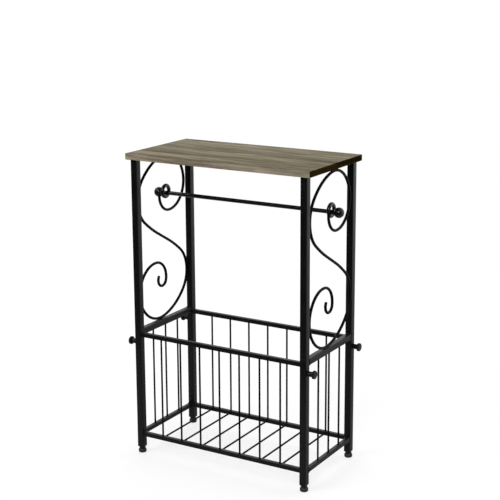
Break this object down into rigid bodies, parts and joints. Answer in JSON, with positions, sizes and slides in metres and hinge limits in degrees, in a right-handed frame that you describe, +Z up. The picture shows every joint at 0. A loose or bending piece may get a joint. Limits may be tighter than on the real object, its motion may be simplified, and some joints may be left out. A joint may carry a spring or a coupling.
{
  "type": "toilet paper stand",
  "caption": "Free-standing toilet paper stand: wood-look table top, black tube frame with scroll sides, a paper rod with ball ends and a wire basket below.",
  "frame": {"origin": "on the floor under the middle of the stand", "axes": "+X right along the paper rod, +Y back, +Z up"},
  "size_m": [0.4228, 0.21, 0.61],
  "materials": {
    "black_metal": "matte black powder coat",
    "wood_top": "grey-brown oak look with a streaky grain along the length",
    "zinc_screws": "zinc plated",
    "foot_plastic": "matte black"
  },
  "bodies": {
    "stand": {"table_top": "wood_top", "left_top_strip": "black_metal", "right_top_strip": "black_metal", "table_screws": "zinc_screws", "left_front_post": "black_metal", "left_back_post": "black_metal", "right_front_post": "black_metal", "right_back_post": "black_metal", "post_inserts": "black_metal", "left_scroll": "black_metal", "right_scroll": "black_metal", "left_rod_ring": "black_metal", "right_rod_ring": "black_metal", "left_front_leg": "black_metal", "left_back_leg": "black_metal", "right_front_leg": "black_metal", "right_back_leg": "black_metal", "front_top_rail": "black_metal", "back_top_rail": "black_metal", "left_top_rail": "black_metal", "right_top_rail": "black_metal", "front_bottom_rail": "black_metal", "back_bottom_rail": "black_metal", "left_bottom_rail": "black_metal", "right_bottom_rail": "black_metal", "front_rods": "black_metal", "back_rods": "black_metal", "left_rods": "black_metal", "right_rods": "black_metal", "floor_rods": "black_metal", "foot_sockets": "foot_plastic"},
    "paper_rod": {"paper_rod": "black_metal", "left_finial": "black_metal"},
    "right_finial": {"right_finial": "black_metal"},
    "left_front_collar": {"left_front_collar": "black_metal"},
    "left_front_screw": {"left_front_screw": "black_metal"},
    "left_front_foot": {"left_front_foot": "foot_plastic"},
    "left_front_stem": {"left_front_stem": "black_metal"},
    "left_back_collar": {"left_back_collar": "black_metal"},
    "left_back_screw": {"left_back_screw": "black_metal"},
    "left_back_foot": {"left_back_foot": "foot_plastic"},
    "left_back_stem": {"left_back_stem": "black_metal"},
    "right_front_collar": {"right_front_collar": "black_metal"},
    "right_front_screw": {"right_front_screw": "black_metal"},
    "right_front_foot": {"right_front_foot": "foot_plastic"},
    "right_front_stem": {"right_front_stem": "black_metal"},
    "right_back_collar": {"right_back_collar": "black_metal"},
    "right_back_screw": {"right_back_screw": "black_metal"},
    "right_back_foot": {"right_back_foot": "foot_plastic"},
    "right_back_stem": {"right_back_stem": "black_metal"}
  },
  "joints": [
    {"name": "paper_rod_spin", "type": "hinge", "parent": "stand", "child": "paper_rod", "pos_m": [0, 0.00735, 0.51541], "axis": [1, 0, 0], "continuous": true},
    {"name": "right_finial_off", "type": "slide", "parent": "paper_rod", "child": "right_finial", "axis": [1, 0, 0], "range_m": [0, 0.012]},
    {"name": "left_front_screw_travel", "type": "slide", "parent": "stand", "child": "left_front_collar", "axis": [-1, 0, 0], "range_m": [0, 0.008]},
    {"name": "left_front_screw_turn", "type": "hinge", "parent": "left_front_collar", "child": "left_front_screw", "pos_m": [-0.2, -0.0925, 0.232], "axis": [-1, 0, 0], "range_deg": [0, 2880]},
    {"name": "left_front_foot_travel", "type": "slide", "parent": "stand", "child": "left_front_foot", "axis": [0, 0, -1], "range_m": [0, 0.006]},
    {"name": "left_front_foot_turn", "type": "hinge", "parent": "left_front_foot", "child": "left_front_stem", "pos_m": [-0.185, -0.0925, 0.01], "axis": [0, 0, -1], "range_deg": [0, 2160]},
    {"name": "left_back_screw_travel", "type": "slide", "parent": "stand", "child": "left_back_collar", "axis": [-1, 0, 0], "range_m": [0, 0.008]},
    {"name": "left_back_screw_turn", "type": "hinge", "parent": "left_back_collar", "child": "left_back_screw", "pos_m": [-0.2, 0.0925, 0.232], "axis": [-1, 0, 0], "range_deg": [0, 2880]},
    {"name": "left_back_foot_travel", "type": "slide", "parent": "stand", "child": "left_back_foot", "axis": [0, 0, -1], "range_m": [0, 0.006]},
    {"name": "left_back_foot_turn", "type": "hinge", "parent": "left_back_foot", "child": "left_back_stem", "pos_m": [-0.185, 0.0925, 0.01], "axis": [0, 0, -1], "range_deg": [0, 2160]},
    {"name": "right_front_screw_travel", "type": "slide", "parent": "stand", "child": "right_front_collar", "axis": [1, 0, 0], "range_m": [0, 0.008]},
    {"name": "right_front_screw_turn", "type": "hinge", "parent": "right_front_collar", "child": "right_front_screw", "pos_m": [0.2, -0.0925, 0.232], "axis": [1, 0, 0], "range_deg": [0, 2880]},
    {"name": "right_front_foot_travel", "type": "slide", "parent": "stand", "child": "right_front_foot", "axis": [0, 0, -1], "range_m": [0, 0.006]},
    {"name": "right_front_foot_turn", "type": "hinge", "parent": "right_front_foot", "child": "right_front_stem", "pos_m": [0.185, -0.0925, 0.01], "axis": [0, 0, -1], "range_deg": [0, 2160]},
    {"name": "right_back_screw_travel", "type": "slide", "parent": "stand", "child": "right_back_collar", "axis": [1, 0, 0], "range_m": [0, 0.008]},
    {"name": "right_back_screw_turn", "type": "hinge", "parent": "right_back_collar", "child": "right_back_screw", "pos_m": [0.2, 0.0925, 0.232], "axis": [1, 0, 0], "range_deg": [0, 2880]},
    {"name": "right_back_foot_travel", "type": "slide", "parent": "stand", "child": "right_back_foot", "axis": [0, 0, -1], "range_m": [0, 0.006]},
    {"name": "right_back_foot_turn", "type": "hinge", "parent": "right_back_foot", "child": "right_back_stem", "pos_m": [0.185, 0.0925, 0.01], "axis": [0, 0, -1], "range_deg": [0, 2160]}
  ],
  "couplings": [
    {"joint": "left_front_screw_turn", "follows": "left_front_screw_travel", "rad_per_m": 6283.2},
    {"joint": "left_front_foot_turn", "follows": "left_front_foot_travel", "rad_per_m": 6283.2},
    {"joint": "left_back_screw_turn", "follows": "left_back_screw_travel", "rad_per_m": 6283.2},
    {"joint": "left_back_foot_turn", "follows": "left_back_foot_travel", "rad_per_m": 6283.2},
    {"joint": "right_front_screw_turn", "follows": "right_front_screw_travel", "rad_per_m": 6283.2},
    {"joint": "right_front_foot_turn", "follows": "right_front_foot_travel", "rad_per_m": 6283.2},
    {"joint": "right_back_screw_turn", "follows": "right_back_screw_travel", "rad_per_m": 6283.2},
    {"joint": "right_back_foot_turn", "follows": "right_back_foot_travel", "rad_per_m": 6283.2}
  ]
}
